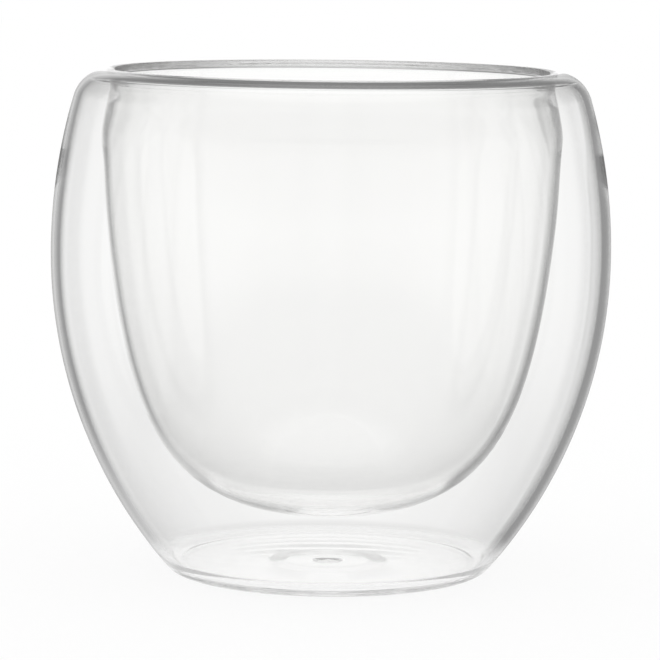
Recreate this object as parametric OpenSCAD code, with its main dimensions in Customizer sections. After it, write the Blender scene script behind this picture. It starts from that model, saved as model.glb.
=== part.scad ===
// Double walled glass cup: a drinking bowl hangs inside a wider outer bowl.
// The two blown bowls are fused into one ring of glass at the rim, and a bead of glass
// closes the vent in the base, so that dry air stays shut in between the walls.
// Millimetres, +Z up. The origin is the middle of the foot, on the table.

/* [Outer bowl] */
// Largest outside diameter, at the belly
belly_d = 90; // [80:0.5:104]
// Height of the belly above the table
belly_z = 51.5; // [44:0.5:60]
// Height of the rim above the belly
rim_rise = 29.5; // [24:0.5:36]
// How far the side draws in from the belly down to the table
heel_in = 19.5; // [15:0.5:24]
// How far the upper side draws in from the belly up to the height of the rim
shoulder_in = 5; // [4:0.1:6]
// Outside radius of the shoulder under the rim
shoulder_r = 6; // [5:0.1:7.5]
// Outside radius at the edge of the foot
foot_edge_r = 3; // [2:0.1:4.5]
// Thickness of the outer bowl's side
outer_wall = 1.45; // [1.1:0.05:1.8]
// Thickness of the outer bowl's wall at the shoulder, where it is thinner
top_wall = 1.15; // [0.95:0.05:1.4]
// Height below the shoulder over which the side thins out to that
top_thin_h = 14; // [10:0.5:18]

/* [Base and vent] */
// Thickness of the base
base_t = 1.7; // [1.5:0.05:2.4]
// Radius inside the outer bowl, where its side turns into the base
heel_inner_r = 5; // [3.5:0.1:7]
// Diameter of the dish that keeps the sealed vent off the table
dish_d = 20; // [17:0.5:24]
// Depth of the dish
dish_depth = 0.6; // [0.45:0.05:0.8]
// Width of the dish's soft edge
dish_edge_w = 3.5; // [2.5:0.1:5]
// Diameter of the vent in the base
vent_d = 5; // [4:0.1:7]
// How far the sealing bead bulges below the dish
bead_drop = 0.3; // [0.2:0.05:0.4]
// How far the sealing bead bulges up into the air gap
bead_rise = 0.3; // [0.2:0.05:0.6]

/* [Drinking bowl] */
// Height of the air gap under the drinking bowl, measured from the flat of the base
gap_h = 7.7; // [5:0.1:11]
// Thickness of the drinking bowl's floor
floor_t = 1.2; // [0.9:0.05:1.8]
// Thickness of the drinking bowl's side at its thinnest
side_t = 0.75; // [0.6:0.05:1]
// Height of the straight, round mouth below the fused ring
straight_h = 1.5; // [1:0.1:2.5]
// How much larger the radius of the drinking bowl is than that of its mouth
swell = 1.35; // [1:0.05:1.7]
// Height over which the bowl widens below the straight mouth
swell_h = 8.5; // [7:0.5:10]
// Thickness of the drinking bowl's wall at its thickest, below the fused ring
thick_t = 1.3; // [1.1:0.05:1.6]
// How far below the fused ring the wall is thickest
thick_drop = 3.5; // [2.5:0.1:4.5]
// Height over which that thicker wall thins out to the side
thin_h = 10; // [8:0.5:13]

/* [Rim] */
// How far the rim reaches in from the shoulder to the mouth
rim_in = 5.3; // [4.6:0.1:6]
// Radius of the rounded lip
lip_r = 1.2; // [0.9:0.05:1.4]
// Thickness of the drinking bowl's wall where it is fused
weld_t = 0.9; // [0.8:0.05:1.2]
// Radius of the glass at the top of the air gap
weld_fillet_r = 0.35; // [0.3:0.05:0.5]
// How far the fused ring reaches down the drinking bowl below that radius
weld_drop = 0.6; // [0.4:0.05:1.2]

/* [Hidden] */

// Where along the shoulder the fused ring begins, from its lower end to the air gap's top
weld_start_share = 0.5;
// Pull of the drinking bowl's curve along its floor, as a share of the bowl's radius
floor_pull_share = 0.826;
// Pull of the drinking bowl's curve down its side, as a share of the curve's height
side_pull_share = 0.276;
// Where the curve turns from the floor to the side, as shares of the radius and of the height
turn_r_share = 0.869;
turn_h_share = 0.242;
// How fast the thicker floor gives way to the thin side
floor_power = 3;

// Colour of the clear glass and of the thicker fused glass
clear_glass = [0.90, 0.94, 0.94, 0.35];
fused_glass = [0.82, 0.88, 0.88, 0.55];

// Steps along each curve and around the cup
long_steps = 30;
mid_steps = 16;
short_steps = 10;
turn_steps = 180;

belly_r = belly_d / 2;
cup_h = belly_z + rim_rise;
mouth_r = belly_r - shoulder_in - rim_in;
vent_r = vent_d / 2;
dish_r = dish_d / 2;

// The side below the belly is one arc, upright at the belly
lower_r = (pow(heel_in, 2) + pow(belly_z, 2)) / (2 * heel_in);
lower_c = [belly_r - lower_r, belly_z];
// The side above the belly is another, upright at the belly too
upper_r = (pow(shoulder_in, 2) + pow(rim_rise, 2)) / (2 * shoulder_in);
upper_c = [belly_r - upper_r, belly_z];
// The lip is tangent to the rim's height and to the mouth
lip_c = [mouth_r + lip_r, cup_h - lip_r];
// The shoulder's arc lies inside the upper arc and around the lip's
shoulder_c = meet(upper_c, upper_r - shoulder_r, lip_c, shoulder_r - lip_r);
// The foot's edge and the heel are arcs inside the lower arc, each standing on a level
foot_edge_c = standing(lower_c, lower_r, 0, foot_edge_r);
heel_inner_c = standing(lower_c, lower_r - outer_wall, base_t, heel_inner_r);

// The top of the air gap is rounded between the drinking bowl and the shoulder
gap_r = mouth_r + weld_t;
gap_shoulder_r = shoulder_r - top_wall;
gap_top_c = hanging(shoulder_c, gap_shoulder_r, gap_r, weld_fillet_r);
weld_z = gap_top_c.y - weld_drop;

foot_angle = angle(lower_c, foot_edge_c);
heel_angle = angle(lower_c, heel_inner_c);
shoulder_angle = angle(upper_c, shoulder_c);
lip_angle = angle(shoulder_c, lip_c);
gap_top_angle = angle(shoulder_c, gap_top_c);
weld_angle = shoulder_angle + weld_start_share * (gap_top_angle - shoulder_angle);

// The drinking bowl is straight at its mouth, widens a little below it, and is one curve
// from there down to its floor
bowl_r = mouth_r + swell;
bowl_floor_z = base_t + gap_h + floor_t;
straight_z = weld_z - straight_h;
thick_z = weld_z - thick_drop;
curve_z = straight_z - swell_h;
curve_h = curve_z - bowl_floor_z;
bowl_curve = [
    [0, bowl_floor_z],
    [floor_pull_share * bowl_r, bowl_floor_z],
    [turn_r_share * bowl_r, bowl_floor_z + turn_h_share * curve_h],
    [bowl_r, curve_z - side_pull_share * curve_h],
    [bowl_r, curve_z]
];

// Direction from one point to another
function angle(from, to) = atan2(to.y - from.y, to.x - from.x);

// Points along an arc
function arc(c, r, a0, a1, n) = [
    for (i = [0:n])
        let (a = a0 + (a1 - a0) * i / n)
        c + r * [cos(a), sin(a)]
];

// Outer, lower meeting point of two circles
function meet(c0, r0, c1, r1) =
    let (
        d = norm(c1 - c0),
        along = (c1 - c0) / d,
        a = (pow(r0, 2) - pow(r1, 2) + pow(d, 2)) / (2 * d),
        h = sqrt(pow(r0, 2) - pow(a, 2))
    )
    c0 + a * along + h * [along.y, -along.x];

// Centre of a rounding that stands on a level inside a circle
function standing(c, r, level, rounding) = [
    c.x + sqrt(pow(r - rounding, 2) - pow(c.y - level - rounding, 2)),
    level + rounding
];

// Centre of a rounding that hangs inside a circle, outside an upright wall
function hanging(c, r, wall_r, rounding) = [
    wall_r + rounding,
    c.y + sqrt(pow(r - rounding, 2) - pow(wall_r + rounding - c.x, 2))
];

// Soft change from 0 to 1
function ramp(s) = (1 - cos(180 * min(1, max(0, s)))) / 2;

// Height of the dish at a radius, with a soft edge
function dish_z(r) = dish_depth * ramp((dish_r - r) / dish_edge_w);

// Radii across the base, from the vent to the edge of the dish
dish_radii = concat(
    [vent_r],
    [for (i = [0:short_steps]) dish_r - dish_edge_w + dish_edge_w * i / short_steps]
);

// The outer bowl's wall above the belly, at a height
function outer_top_wall(z) =
    outer_wall + (top_wall - outer_wall) * ramp((z - shoulder_c.y + top_thin_h) / top_thin_h);

// The drinking bowl's inside radius above its curve, at a height
function neck_r(z) = mouth_r + swell * ramp((straight_z - z) / swell_h);

// The drinking bowl's wall at a height, up to its thickest and on to the fused ring
function upper_wall(z, thin_t) =
    z > thick_z
        ? thick_t + (weld_t - thick_t) * ramp((z - thick_z) / thick_drop)
        : thick_t + (thin_t - thick_t) * ramp((thick_z - z) / thin_h);

// The drinking bowl's inner curve, its direction and its wall, from the floor to the neck
function bowl_at(u) =
    pow(1 - u, 4) * bowl_curve[0]
    + 4 * u * pow(1 - u, 3) * bowl_curve[1]
    + 6 * pow(u, 2) * pow(1 - u, 2) * bowl_curve[2]
    + 4 * pow(u, 3) * (1 - u) * bowl_curve[3]
    + pow(u, 4) * bowl_curve[4];
function bowl_way(u) =
    pow(1 - u, 3) * (bowl_curve[1] - bowl_curve[0])
    + 3 * u * pow(1 - u, 2) * (bowl_curve[2] - bowl_curve[1])
    + 3 * pow(u, 2) * (1 - u) * (bowl_curve[3] - bowl_curve[2])
    + pow(u, 3) * (bowl_curve[4] - bowl_curve[3]);
function bowl_wall(u) =
    upper_wall(bowl_at(u).y, side_t + (floor_t - side_t) * pow(1 - u, floor_power));
function bowl_outside(u) =
    let (way = bowl_way(u) / norm(bowl_way(u)))
    bowl_at(u) + bowl_wall(u) * [way.y, -way.x];

// Points of a shallow dome from the axis out to its edge, height up or down
function dome(r, edge_z, height) =
    let (
        ball_r = (pow(r, 2) + pow(height, 2)) / (2 * abs(height)),
        side = sign(height),
        c = [0, edge_z + height - side * ball_r],
        edge = asin(r / ball_r)
    )
    [for (i = [0:short_steps])
        let (a = edge * i / short_steps)
        c + ball_r * [sin(a), side * cos(a)]];

function reversed(points) = [for (i = [len(points) - 1:-1:0]) points[i]];

// The blown outer bowl, with the vent in its dished base and its top edge cut for the rim
module outer_bowl() {
    under = [for (r = dish_radii) [r, dish_z(r)]];
    outside = concat(
        arc(foot_edge_c, foot_edge_r, -90, foot_angle, short_steps),
        arc(lower_c, lower_r, foot_angle, 0, long_steps),
        arc(upper_c, upper_r, 0, shoulder_angle, mid_steps),
        arc(shoulder_c, shoulder_r, shoulder_angle, weld_angle, short_steps)
    );
    inside = concat(
        arc(shoulder_c, gap_shoulder_r, weld_angle, shoulder_angle, short_steps),
        [for (p = arc(upper_c, upper_r, shoulder_angle, 0, mid_steps))
            p + outer_top_wall(p.y) * (upper_c - p) / upper_r],
        arc(lower_c, lower_r - outer_wall, 0, heel_angle, long_steps),
        arc(heel_inner_c, heel_inner_r, heel_angle, -90, short_steps)
    );
    color(clear_glass)
        rotate_extrude($fn = turn_steps)
            polygon(concat(under, outside, inside, [[vent_r, base_t]]));
}

// The blown drinking bowl, thin at its side and thicker at its floor and near the rim
module inner_bowl() {
    inside = concat(
        [for (i = [0:long_steps]) bowl_at(i / long_steps)],
        [for (i = [1:short_steps])
            let (z = curve_z + swell_h * i / short_steps)
            [neck_r(z), z]],
        [[mouth_r, weld_z]]
    );
    outside = concat(
        [for (i = [mid_steps:-1:1])
            let (z = curve_z + (weld_z - curve_z) * i / mid_steps)
            [neck_r(z) + upper_wall(z, side_t), z]],
        [for (i = [long_steps:-1:0]) bowl_outside(i / long_steps)]
    );
    color(clear_glass)
        rotate_extrude($fn = turn_steps)
            polygon(concat(inside, outside));
}

// The ring of fused glass at the rim, which carries the drinking bowl
module rim_weld() {
    outside = concat(
        arc(shoulder_c, shoulder_r, weld_angle, lip_angle, short_steps),
        arc(lip_c, lip_r, lip_angle, 180, short_steps)
    );
    inside = concat(
        [[mouth_r, weld_z], [gap_r, weld_z]],
        arc(gap_top_c, weld_fillet_r, 180, gap_top_angle, short_steps),
        arc(shoulder_c, gap_shoulder_r, gap_top_angle, weld_angle, short_steps)
    );
    color(fused_glass)
        rotate_extrude($fn = turn_steps)
            polygon(concat(outside, inside));
}

// The bead of glass that fills and closes the vent
module vent_seal() {
    low = dish_z(vent_r);
    color(fused_glass)
        rotate_extrude($fn = turn_steps)
            polygon(concat(
                dome(vent_r, low, -bead_drop),
                reversed(dome(vent_r, base_t, bead_rise))
            ));
}

outer_bowl();
inner_bowl();
rim_weld();
vent_seal();
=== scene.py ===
import math

import bmesh
import bpy
from mathutils import Matrix


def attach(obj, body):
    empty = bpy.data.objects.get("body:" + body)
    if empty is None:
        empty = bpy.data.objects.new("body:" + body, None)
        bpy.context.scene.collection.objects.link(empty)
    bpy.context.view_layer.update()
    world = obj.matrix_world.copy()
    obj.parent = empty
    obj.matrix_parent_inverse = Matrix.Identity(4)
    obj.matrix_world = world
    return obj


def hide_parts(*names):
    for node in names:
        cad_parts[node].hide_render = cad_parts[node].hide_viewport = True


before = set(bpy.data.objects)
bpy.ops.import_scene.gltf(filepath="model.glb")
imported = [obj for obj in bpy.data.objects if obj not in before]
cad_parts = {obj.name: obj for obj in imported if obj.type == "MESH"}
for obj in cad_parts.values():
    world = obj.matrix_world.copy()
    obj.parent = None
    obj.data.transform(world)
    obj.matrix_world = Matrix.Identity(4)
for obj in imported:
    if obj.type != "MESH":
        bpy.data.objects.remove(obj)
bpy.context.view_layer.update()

# Sizes in metres, angles in degrees

# Camera, as the photograph was taken: far off with a long lens, a little above the rim
CAMERA_AWAY = 0.560
CAMERA_HEIGHT = 0.1065
CAMERA_DOWN = 6.8755
CAMERA_ROLL = 0.62
CAMERA_LENS = 190.5
CAMERA_SENSOR = 36.0
CAMERA_NEAR = 0.01

# Each piece is turned again from the section of its solid, with this many steps around.
# Points this close are one, bends this slight are left out, and edges this sharp stay sharp.
# Section corners of two pieces this close to each other lie on a fused seam
TURN_STEPS = 320
SAME_POINT = 2e-6
STRAIGHT_ENOUGH = 0.02
CREASE = 25.0
SEAM_GAP = 1e-5

# Glass: its tint and index, how far its waves stand out and how close they lie, and how
# close, long, marked and dull its wiped streaks are
GLASS_TINT = (1.0, 1.0, 0.997, 1)
GLASS_IOR = 1.474
WAVE_HEIGHT = 1.2e-5
WAVE_SCALE = 70.0
WAVE_DETAIL = 1.0
STREAK_SCALE = 160.0
STREAK_STRETCH = (1, 1, 0.25)
STREAK_DETAIL = 4.0
STREAK_EDGE = (0.5, 0.75)
STREAK_DULL = 0.012

# Stage: a wide floor under the cup, and the small lit table top that shows through the glass
FLOOR_Z = -0.0002
FLOOR_R = 3.0
FLOOR_CORNERS = 4
FLOOR_SHADE = 0.1
TABLE_Z = -0.0003
TABLE_R = 0.036
TABLE_CORNERS = 64
TABLE_SOFT = 0.025
TABLE_WHITE = 0.9
TABLE_SHADE = 0.35
TABLE_GLOW = 1.22

# Studio seen by the glass: an oval window behind the cup and one at each side, each with a
# grey border, dark cards beside the one behind, pale sides, a dim wall above with a lamp
# overhead, and a front without a window. Widths, heights and places are angles, and window
# and border edges are shares of the window's half width. Mirrored light sees narrower
# windows, so that the cup's outer edges stand out from the white
WINDOWS = 4
WINDOW_LEFT = 19.5
WINDOW_RIGHT = 12.4
WINDOW_MIRRORED_SHARE = 0.45
WINDOW_UP = -7.0
WINDOW_TALL = 26.0
WINDOW_EDGE = (0.92, 1.03)
WINDOW_SLOPE = (-20.0, -4.0)
WINDOW_LOW = 0.78
MIDDLE_EDGE = (1.0, 11.0)
MIDDLE_LEVEL = 1.03
WINDOW_LEVEL = 0.945
BORDER_EDGE = (1.12, 1.4)
BORDER_GREY = 0.48
CARD_EDGE = (31.0, 42.0)
CARD_DARK = 0.3
CARD_FOOT = (-26.0, -15.0)
CARD_FOOT_LEFT = 0.6
SIDE_LEVEL = 0.84
FRONT_EDGE = (110.0, 150.0)
FRONT_NO_WINDOW = (125.0, 140.0)
FAR_OFF = 9.0
FRONT_BAND = (10.0, 22.0)
FRONT_LEVEL = 0.78
FRONT_DARK = 0.32
WALL_EDGE = (4.0, 20.0)
WALL_BEHIND = 0.22
WALL_FRONT = 0.32
LAMP_EDGE = (50.0, 70.0)
LAMP_LEVEL = 0.9
LOW_EDGE = (-30.0, -45.0)
LOW_LEVEL = 0.84
ROOM_LIGHT = 1.0
LEFT_TO_RIGHT = (-0.03, 0.03)
FRONT_TO_BACK = (-0.25, 0.25)
DEGREES = math.degrees(1)

# How often light may pass or turn at a wall of glass, and at a fused seam
GLASS_BOUNCES = 160
SEAM_BOUNCES = 32


class Graph:
    """Short words for building a node tree."""

    def __init__(self, tree):
        self.tree = tree

    def node(self, kind, **values):
        n = self.tree.nodes.new(kind)
        for key, value in values.items():
            setattr(n, key, value)
        return n

    def join(self, source, socket):
        if isinstance(source, (int, float)):
            socket.default_value = source
        else:
            self.tree.links.new(source, socket)

    def math(self, operation, a, b=0.0):
        n = self.node("ShaderNodeMath", operation=operation)
        self.join(a, n.inputs[0])
        self.join(b, n.inputs[1])
        return n.outputs[0]

    def ramp(self, value, start, end, low=0.0, high=1.0):
        n = self.node("ShaderNodeMapRange", interpolation_type="SMOOTHSTEP")
        self.join(value, n.inputs["Value"])
        self.join(start, n.inputs["From Min"])
        self.join(end, n.inputs["From Max"])
        self.join(low, n.inputs["To Min"])
        self.join(high, n.inputs["To Max"])
        return n.outputs["Result"]

    def noise(self, place, scale, detail):
        n = self.node("ShaderNodeTexNoise")
        self.join(place, n.inputs["Vector"])
        n.inputs["Scale"].default_value = scale
        n.inputs["Detail"].default_value = detail
        return n.outputs[0]

    def blend(self, share, a, b):
        n = self.node("ShaderNodeMix", data_type="FLOAT")
        self.join(share, n.inputs[0])
        self.join(a, n.inputs[2])
        self.join(b, n.inputs[3])
        return n.outputs[0]


def section_bmesh(node):
    """Cuts one CAD solid along its axis and keeps the cut line on the +X side."""
    bm = bmesh.new()
    bm.from_mesh(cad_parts[node].data)
    bmesh.ops.remove_doubles(bm, verts=bm.verts, dist=SAME_POINT)
    geometry = bm.verts[:] + bm.edges[:] + bm.faces[:]
    cut = bmesh.ops.bisect_plane(
        bm, geom=geometry, dist=SAME_POINT, plane_co=(0, 0, 0), plane_no=(0, 1, 0)
    )["geom_cut"]
    keep = {e for e in cut if isinstance(e, bmesh.types.BMEdge)}
    keep = {e for e in keep if sum(v.co.x for v in e.verts) > SAME_POINT}
    line = {v for e in keep for v in e.verts}
    bmesh.ops.delete(bm, geom=bm.faces[:], context="FACES_ONLY")
    bmesh.ops.delete(bm, geom=[e for e in bm.edges if e not in keep], context="EDGES")
    bmesh.ops.delete(bm, geom=[v for v in bm.verts if v not in line], context="VERTS")
    for v in bm.verts:
        v.co.y = 0
        if abs(v.co.x) < SAME_POINT:
            v.co.x = 0
    bmesh.ops.remove_doubles(bm, verts=bm.verts, dist=SAME_POINT)
    straight = [v for v in bm.verts if len(v.link_edges) == 2 and turn_at(v) < STRAIGHT_ENOUGH]
    bmesh.ops.dissolve_verts(bm, verts=straight)
    return bm


def turn_at(v):
    """How far the cut line bends at one of its points."""
    a, b = (e.other_vert(v).co - v.co for e in v.link_edges)
    return 180 - math.degrees(a.angle(b))


def spun(bm, node, name):
    """Spins a cut line into a smooth closed body."""
    bmesh.ops.spin(
        bm,
        geom=bm.verts[:] + bm.edges[:],
        axis=(0, 0, 1),
        cent=(0, 0, 0),
        angle=math.tau,
        steps=TURN_STEPS,
        use_merge=True,
    )
    bmesh.ops.remove_doubles(bm, verts=bm.verts, dist=SAME_POINT)
    bmesh.ops.recalc_face_normals(bm, faces=bm.faces[:])
    for f in bm.faces:
        f.smooth = True
    for e in bm.edges:
        if len(e.link_faces) == 2 and e.calc_face_angle() > math.radians(CREASE):
            e.smooth = False
    mesh = bpy.data.meshes.new(name)
    bm.to_mesh(mesh)
    bm.free()
    piece = bpy.data.objects.new(name, mesh)
    bpy.context.scene.collection.objects.link(piece)
    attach(piece, "root")
    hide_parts(node)
    return piece


def clear_glass():
    """Clear blown glass with faint waves in its surface and a trace of wiped streaks."""
    mat = bpy.data.materials.new("clear_glass")
    mat.use_nodes = True
    g = Graph(mat.node_tree)
    p = mat.node_tree.nodes["Principled BSDF"]
    p.inputs["Base Color"].default_value = GLASS_TINT
    p.inputs["IOR"].default_value = GLASS_IOR
    p.inputs["Transmission Weight"].default_value = 1.0
    place = g.node("ShaderNodeTexCoord").outputs["Object"]
    waves = g.noise(place, WAVE_SCALE, WAVE_DETAIL)
    bump = g.node("ShaderNodeBump")
    bump.inputs["Strength"].default_value = 1.0
    bump.inputs["Distance"].default_value = WAVE_HEIGHT
    g.join(waves, bump.inputs["Height"])
    g.join(bump.outputs["Normal"], p.inputs["Normal"])
    stretch = g.node("ShaderNodeMapping")
    stretch.inputs["Scale"].default_value = STREAK_STRETCH
    g.join(place, stretch.inputs["Vector"])
    streaks = g.noise(stretch.outputs["Vector"], STREAK_SCALE, STREAK_DETAIL)
    g.join(g.ramp(streaks, *STREAK_EDGE, 0.0, STREAK_DULL), p.inputs["Roughness"])
    return mat


def fused_seam():
    """Where two pieces are fused, light goes straight on from one to the other."""
    mat = bpy.data.materials.new("fused_seam")
    mat.use_nodes = True
    g = Graph(mat.node_tree)
    nodes = mat.node_tree.nodes
    nodes.remove(nodes["Principled BSDF"])
    through = g.node("ShaderNodeBsdfTransparent")
    g.join(through.outputs["BSDF"], nodes["Material Output"].inputs["Surface"])
    return mat


GLASS = clear_glass()
SEAM = fused_seam()

# Corners that a piece's section shares with another piece's mark where they are fused
sections = {node: section_bmesh(node) for node in sorted(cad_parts)}
corners = {node: [(v.co.x, v.co.z) for v in bm.verts] for node, bm in sections.items()}
shared = {
    node: [
        p for p in corners[node]
        if any(
            math.dist(p, q) < SEAM_GAP
            for other in corners if other != node
            for q in corners[other]
        )
    ]
    for node in corners
}
pieces = {node: spun(bm, node, node + "_glass") for node, bm in sections.items()}
for node, piece in pieces.items():
    mesh = piece.data
    mesh.materials.append(GLASS)
    mesh.materials.append(SEAM)
    places = [(math.hypot(v.co.x, v.co.y), v.co.z) for v in mesh.vertices]
    on_seam = [any(math.dist(p, q) < SEAM_GAP for q in shared[node]) for p in places]
    for poly in mesh.polygons:
        if all(on_seam[i] for i in poly.vertices):
            poly.material_index = 1


def studio():
    """A plain white room that glass sees as bright windows between dark cards."""
    world = bpy.data.worlds.new("studio")
    bpy.context.scene.world = world
    world.use_nodes = True
    g = Graph(world.node_tree)
    nodes = world.node_tree.nodes
    out = nodes["World Output"]
    nodes.remove(nodes["Background"])
    way = g.node("ShaderNodeTexCoord").outputs["Generated"]
    split = g.node("ShaderNodeSeparateXYZ")
    g.join(way, split.inputs[0])
    x, y, z = split.outputs
    around = g.math("ARCTAN2", x, y)
    turned = g.math("MULTIPLY", g.math("ABSOLUTE", around), DEGREES)
    up = g.math("MULTIPLY", g.math("ARCSINE", z), DEGREES)

    # How far a direction lies from the middle of the nearest window; there is none in front
    wave = g.math("COSINE", g.math("MULTIPLY", around, WINDOWS))
    off = g.math("MULTIPLY", g.math("ARCCOSINE", wave), DEGREES / WINDOWS)
    path = g.node("ShaderNodeLightPath").outputs
    wide = g.ramp(x, *LEFT_TO_RIGHT, WINDOW_LEFT, WINDOW_RIGHT)
    narrow = g.blend(path["Is Reflection Ray"], 1.0, WINDOW_MIRRORED_SHARE)
    across = g.math("DIVIDE", off, g.math("MULTIPLY", wide, narrow))
    above = g.math("SUBTRACT", up, WINDOW_UP)
    along = g.math("DIVIDE", above, WINDOW_TALL)
    squares = g.math("ADD", g.math("MULTIPLY", across, across), g.math("MULTIPLY", along, along))
    in_front = g.ramp(turned, *FRONT_NO_WINDOW, 0.0, FAR_OFF)
    far = g.math("ADD", g.math("SQRT", squares), in_front)

    # The room around the windows
    foot = g.ramp(x, *LEFT_TO_RIGHT, CARD_FOOT_LEFT, CARD_DARK)
    card = g.ramp(up, *CARD_FOOT, foot, CARD_DARK)
    room = g.ramp(turned, *CARD_EDGE, card, SIDE_LEVEL)
    front = g.ramp(above, *FRONT_BAND, FRONT_LEVEL, FRONT_DARK)
    room = g.blend(g.ramp(turned, *FRONT_EDGE), room, front)
    wall = g.ramp(y, *FRONT_TO_BACK, WALL_FRONT, WALL_BEHIND)
    room = g.blend(g.ramp(up, *WALL_EDGE), room, wall)
    room = g.blend(g.ramp(up, *LAMP_EDGE), room, LAMP_LEVEL)

    # The windows, brightest in the middle of the one behind the cup
    window = g.ramp(turned, *MIDDLE_EDGE, MIDDLE_LEVEL, WINDOW_LEVEL)
    window = g.math("MULTIPLY", window, g.ramp(up, *WINDOW_SLOPE, WINDOW_LOW, 1.0))
    window = g.blend(g.ramp(far, *WINDOW_EDGE), window, BORDER_GREY)
    level = g.blend(g.ramp(far, *BORDER_EDGE), window, room)
    level = g.blend(g.ramp(up, *LOW_EDGE), level, LOW_LEVEL)

    # Only glass sees this; the floor is lit by a plain room, and the camera sees plain white
    seen = g.math("MAXIMUM", path["Is Glossy Ray"], path["Is Transmission Ray"])
    seen = g.math("MULTIPLY", seen, g.math("LESS_THAN", path["Diffuse Depth"], 0.5))
    strength = g.blend(seen, ROOM_LIGHT, level)
    strength = g.blend(path["Is Camera Ray"], strength, 1.0)
    background = g.node("ShaderNodeBackground")
    background.inputs["Color"].default_value = (1, 1, 1, 1)
    g.join(strength, background.inputs["Strength"])
    g.join(background.outputs[0], out.inputs["Surface"])


def stage_disc(name, radius, z, corners_around):
    """A flat sheet of the stage, which is not part of the cup."""
    bm = bmesh.new()
    bmesh.ops.create_circle(bm, cap_ends=True, segments=corners_around, radius=radius)
    bmesh.ops.translate(bm, verts=bm.verts, vec=(0, 0, z))
    mesh = bpy.data.meshes.new(name)
    bm.to_mesh(mesh)
    bm.free()
    obj = bpy.data.objects.new(name, mesh)
    bpy.context.scene.collection.objects.link(obj)
    return obj


def floor_white():
    """White floor that keeps a light shadow of the cup."""
    mat = bpy.data.materials.new("floor_white")
    mat.use_nodes = True
    g = Graph(mat.node_tree)
    nodes = mat.node_tree.nodes
    nodes.remove(nodes["Principled BSDF"])
    matt = g.node("ShaderNodeBsdfDiffuse")
    matt.inputs["Color"].default_value = (1, 1, 1, 1)
    glow = g.node("ShaderNodeEmission")
    glow.inputs["Color"].default_value = (1, 1, 1, 1)
    mix = g.node("ShaderNodeMixShader")
    mix.inputs[0].default_value = FLOOR_SHADE
    g.join(glow.outputs[0], mix.inputs[1])
    g.join(matt.outputs[0], mix.inputs[2])
    g.join(mix.outputs[0], nodes["Material Output"].inputs["Surface"])
    return mat


def table_white():
    """Lit white table top under the glass, fading out softly into the room."""
    mat = bpy.data.materials.new("table_white")
    mat.use_nodes = True
    g = Graph(mat.node_tree)
    nodes = mat.node_tree.nodes
    nodes.remove(nodes["Principled BSDF"])
    place = g.node("ShaderNodeTexCoord").outputs["Object"]
    length = g.node("ShaderNodeVectorMath", operation="LENGTH")
    g.join(place, length.inputs[0])
    matt = g.node("ShaderNodeBsdfDiffuse")
    matt.inputs["Color"].default_value = (TABLE_WHITE,) * 3 + (1,)
    glow = g.node("ShaderNodeEmission")
    glow.inputs["Strength"].default_value = TABLE_GLOW
    lit = g.node("ShaderNodeMixShader")
    path = g.node("ShaderNodeLightPath").outputs
    plain = g.math("SUBTRACT", 1.0, path["Is Diffuse Ray"])
    g.join(g.math("MULTIPLY", plain, 1 - TABLE_SHADE), lit.inputs[0])
    g.join(matt.outputs[0], lit.inputs[1])
    g.join(glow.outputs[0], lit.inputs[2])
    clear = g.node("ShaderNodeBsdfTransparent")
    mix = g.node("ShaderNodeMixShader")
    g.join(g.ramp(length.outputs["Value"], TABLE_SOFT, TABLE_R), mix.inputs[0])
    g.join(lit.outputs[0], mix.inputs[1])
    g.join(clear.outputs[0], mix.inputs[2])
    g.join(mix.outputs[0], nodes["Material Output"].inputs["Surface"])
    return mat


studio()

# The camera alone sees the floor, and the glass alone sees the table top
floor = stage_disc("floor", FLOOR_R, FLOOR_Z, FLOOR_CORNERS)
floor.data.materials.append(floor_white())
floor.visible_glossy = False
floor.visible_transmission = False
floor.visible_diffuse = False
floor.visible_shadow = False
table = stage_disc("table_top", TABLE_R, TABLE_Z, TABLE_CORNERS)
table.data.materials.append(table_white())
table.visible_camera = False
table.visible_shadow = False

# Light finds its way through many walls of glass, and far around inside the rim
cycles = bpy.context.scene.cycles
cycles.max_bounces = GLASS_BOUNCES
cycles.transmission_bounces = GLASS_BOUNCES
cycles.glossy_bounces = GLASS_BOUNCES
cycles.transparent_max_bounces = SEAM_BOUNCES

cam_data = bpy.data.cameras.new("camera")
cam_data.lens = CAMERA_LENS
cam_data.sensor_width = CAMERA_SENSOR
cam_data.clip_start = CAMERA_NEAR
cam = bpy.data.objects.new("camera", cam_data)
bpy.context.scene.collection.objects.link(cam)
tilt = Matrix.Rotation(math.radians(90 - CAMERA_DOWN), 4, "X")
roll = Matrix.Rotation(math.radians(CAMERA_ROLL), 4, "Z")
cam.matrix_world = Matrix.Translation((0, -CAMERA_AWAY, CAMERA_HEIGHT)) @ tilt @ roll
bpy.context.scene.camera = cam

bpy.context.scene.view_settings.view_transform = "Standard"
